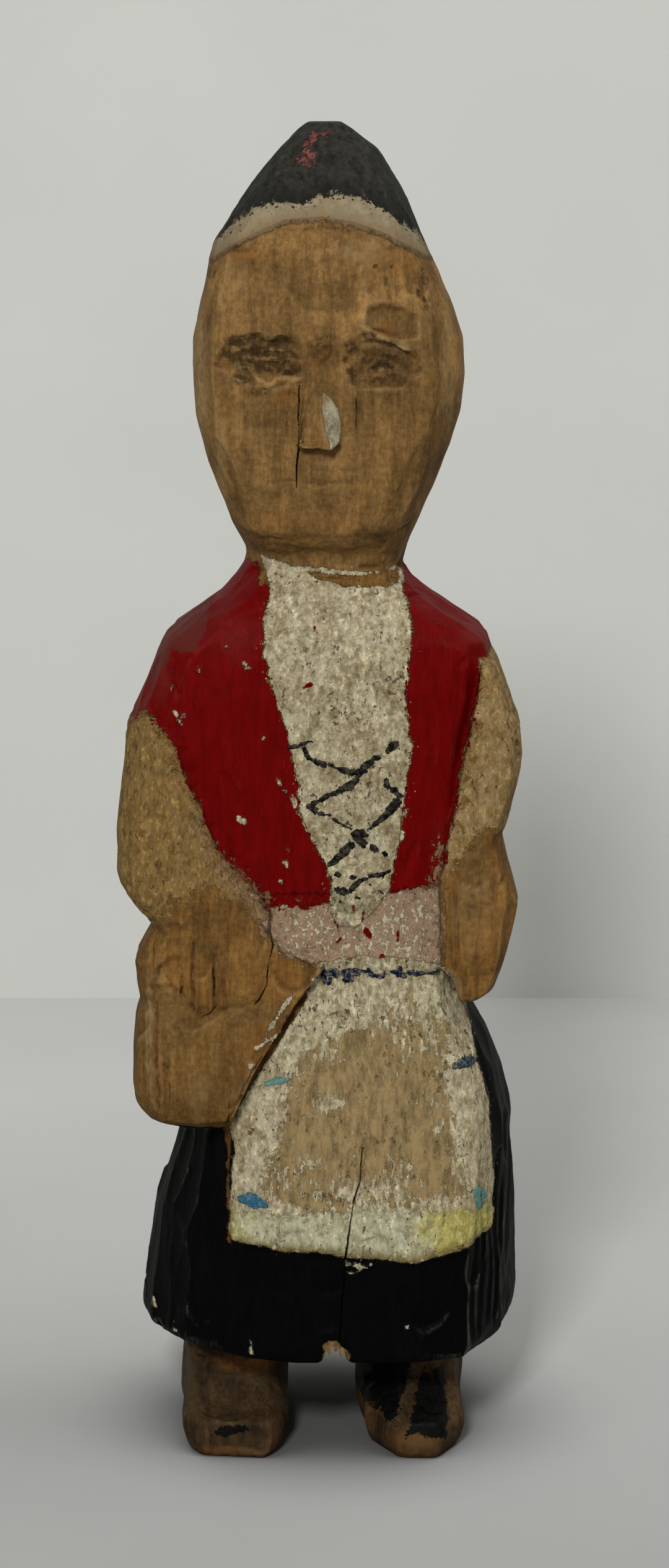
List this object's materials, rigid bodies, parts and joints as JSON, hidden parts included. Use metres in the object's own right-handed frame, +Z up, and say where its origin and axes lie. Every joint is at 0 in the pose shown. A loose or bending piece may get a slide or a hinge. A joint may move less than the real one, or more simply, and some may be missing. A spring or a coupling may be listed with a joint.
{
  "type": "peg wooden doll",
  "caption": "Whittled and painted wooden folk doll with a pointed cap, a laced bodice, an apron over a black skirt, and a bag held at the hip.",
  "frame": {"origin": "on the ground plane, under the middle of the figure's box", "axes": "+Z up through the figure, -Y the way the figure faces, +X towards the figure's left hand"},
  "size_m": [0.046, 0.033, 0.15],
  "materials": {
    "black_paint": "black paint on whittled wood, satin and worn",
    "band_paint": "thin cream paint, worn matt",
    "face_wood": "bare aged wood, handled smooth",
    "dowel_wood": "fresh turned dowel",
    "red_paint": "crimson paint, semi-gloss",
    "cream_paint": "thick cream paint, crusty and matt",
    "sleeve_paint": "cream paint worn down to the wood",
    "hand_wood": "bare aged wood, handled smooth",
    "bag_wood": "bare aged wood with knife facets",
    "waist_paint": "thin pinkish paint, worn",
    "apron_paint": "cream paint with a worn tan middle",
    "hem_paint": "pale yellow paint, matt",
    "blue_paint": "blue paint strokes",
    "shoe_paint": "stained brown wood with remains of black paint"
  },
  "bodies": {
    "root": {"cap": "black_paint", "cap_band": "band_paint", "head": "face_wood", "nose": "face_wood", "neck_peg": "dowel_wood", "vest": "red_paint", "blouse": "cream_paint", "lacing": "black_paint", "right_sleeve": "sleeve_paint", "left_sleeve": "sleeve_paint", "right_hand": "hand_wood", "left_hand": "hand_wood", "bag": "bag_wood", "right_arm_peg": "dowel_wood", "left_arm_peg": "dowel_wood", "waistband": "waist_paint", "waist_peg": "dowel_wood", "skirt": "black_paint", "apron": "apron_paint", "apron_hem": "hem_paint", "apron_stitches": "blue_paint", "right_leg": "shoe_paint", "left_leg": "shoe_paint", "right_shoe": "shoe_paint", "left_shoe": "shoe_paint"}
  },
  "joints": []
}
